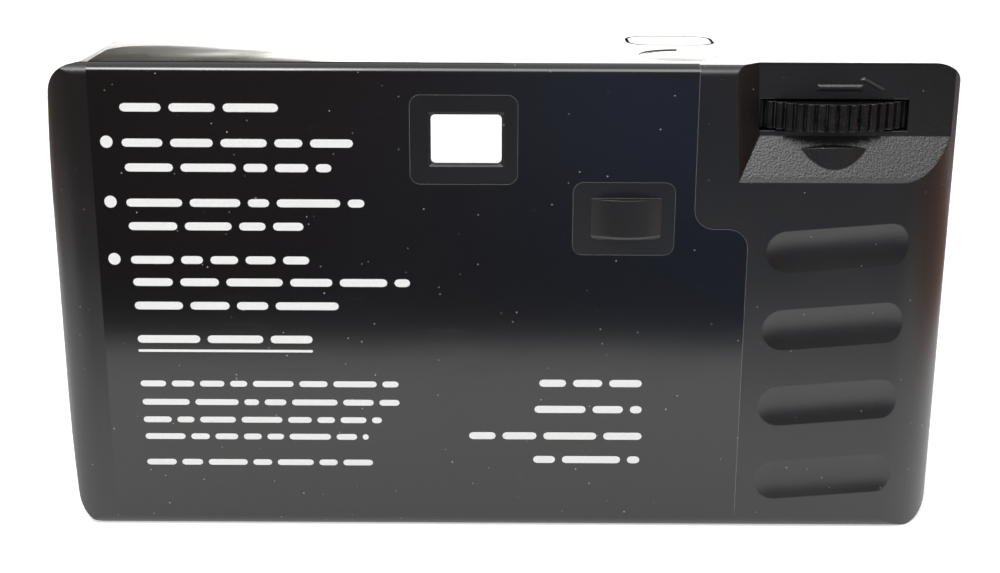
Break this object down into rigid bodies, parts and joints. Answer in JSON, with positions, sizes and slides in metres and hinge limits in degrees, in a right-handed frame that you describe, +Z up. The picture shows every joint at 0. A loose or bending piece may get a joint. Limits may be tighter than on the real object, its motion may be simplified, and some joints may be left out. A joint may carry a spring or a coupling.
{
  "type": "single-use film camera",
  "caption": "Black single-use 35 mm film camera with flash: clear viewfinder, knurled thumbwheel in a thumb recess, scooped grip grooves and a glossy wrap label.",
  "frame": {"origin": "middle of the footprint, on the base", "axes": "+X to the right seen from the back, +Y from the back towards the lens, +Z up"},
  "size_m": [0.118, 0.0374, 0.0633],
  "materials": {
    "cover_plastic": "fine grained black moulding",
    "label": "glossy black printed wrap",
    "frame_plastic": "dark grey moulding",
    "wheel_plastic": "satin black moulding",
    "button_plastic": "satin dark grey moulding",
    "clear_plastic": "polished clear moulding",
    "lens_plastic": "polished clear lens",
    "white_plastic": "white moulding with counter marks",
    "lamp": "amber light pipe",
    "film": "brown photographic film",
    "cassette_metal": "plain lacquered sheet",
    "steel": "bright sheet",
    "brass": "stamped strip",
    "board": "brown paper laminate",
    "capacitor_sleeve": "shrunk sleeve",
    "winding": "lacquered wire and core",
    "component_body": "moulded electronic parts",
    "battery_sleeve": "plain cell jacket",
    "mirror": "polished reflector sheet"
  },
  "bodies": {
    "camera_body": {"back_cover": "cover_plastic", "front_cover": "cover_plastic", "wrap_label": "label", "main_frame": "frame_plastic", "anti_reverse_pawl": "frame_plastic", "cassette_shell": "cassette_metal", "cassette_caps": "steel", "film_strip": "film", "counter_window": "clear_plastic", "mechanism_cover": "frame_plastic", "button_leaf": "steel", "striker_spring": "steel", "shutter_spring": "steel", "aperture_plate": "frame_plastic", "taking_lens": "lens_plastic", "lens_retainer": "frame_plastic", "viewfinder_rear_lens": "clear_plastic", "viewfinder_front_lens": "clear_plastic", "flash_board": "board", "flash_capacitor": "capacitor_sleeve", "transformer": "winding", "trigger_coil": "winding", "board_components": "component_body", "flash_tube": "clear_plastic", "flash_reflector": "mirror", "flash_window": "clear_plastic", "ready_lamp": "lamp", "flash_switch_contact": "brass", "sync_contact": "brass", "battery": "battery_sleeve", "battery_contact_plus": "brass", "battery_contact_minus": "brass"},
    "winder": {"thumbwheel": "wheel_plastic", "cassette_spool": "frame_plastic", "wound_film": "film"},
    "film_sprocket": {"sprocket_wheel": "frame_plastic"},
    "supply_roll": {"supply_spool": "frame_plastic", "film_roll": "film"},
    "frame_counter": {"counter_dial": "white_plastic"},
    "release": {"shutter_button": "button_plastic"},
    "lock": {"lock_lever": "steel"},
    "striker": {"striker_lever": "frame_plastic"},
    "blade": {"shutter_blade": "steel"},
    "flash_switch": {"flash_button": "button_plastic"}
  },
  "joints": [
    {"name": "thumbwheel_spin", "type": "hinge", "parent": "camera_body", "child": "winder", "pos_m": [0.0421, -0.0028, 0.0563], "axis": [0, 0, 1], "continuous": true},
    {"name": "sprocket_spin", "type": "hinge", "parent": "camera_body", "child": "film_sprocket", "pos_m": [0.017, -0.00857, 0.04], "axis": [0, 0, 1], "continuous": true},
    {"name": "supply_spin", "type": "hinge", "parent": "camera_body", "child": "supply_roll", "pos_m": [-0.0421, -0.00399, 0.025], "axis": [0, 0, 1], "continuous": true},
    {"name": "counter_spin", "type": "hinge", "parent": "camera_body", "child": "frame_counter", "pos_m": [0.0262, -0.0071, 0.0597], "axis": [0, 0, 1], "continuous": true},
    {"name": "shutter_button_press", "type": "slide", "parent": "camera_body", "child": "release", "axis": [0, 0, -1], "range_m": [0, 0.0012], "stiffness_N_per_m": 800, "springref_m": -0.0008, "deforming": ["button_leaf"]},
    {"name": "lock_lever_swing", "type": "hinge", "parent": "camera_body", "child": "lock", "pos_m": [0.0204, -0.001, 0.0525], "axis": [0, 0, 1], "range_deg": [0, 9.6]},
    {"name": "striker_swing", "type": "hinge", "parent": "camera_body", "child": "striker", "pos_m": [0.0085, 0.00243, 0.0502], "axis": [0, 0, -1], "range_deg": [0, 12], "stiffness_Nm_per_rad": 0.002, "springref_deg": -11.46},
    {"name": "shutter_blade_swing", "type": "hinge", "parent": "camera_body", "child": "blade", "pos_m": [0.0095, 0.00955, 0.033], "axis": [0, -1, 0], "range_deg": [0, 35], "stiffness_Nm_per_rad": 0.001, "springref_deg": -11.46},
    {"name": "flash_button_press", "type": "slide", "parent": "camera_body", "child": "flash_switch", "axis": [0, -1, 0], "range_m": [0, 0.0012], "stiffness_N_per_m": 600, "springref_m": -0.0008}
  ],
  "couplings": [
    {"joint": "sprocket_spin", "follows": "thumbwheel_spin", "ratio": 1.1905},
    {"joint": "supply_spin", "follows": "thumbwheel_spin", "ratio": 0.8675},
    {"joint": "counter_spin", "follows": "thumbwheel_spin", "ratio": -0.03968},
    {"joint": "lock_lever_swing", "follows": "shutter_button_press", "rad_per_m": 139.63}
  ]
}
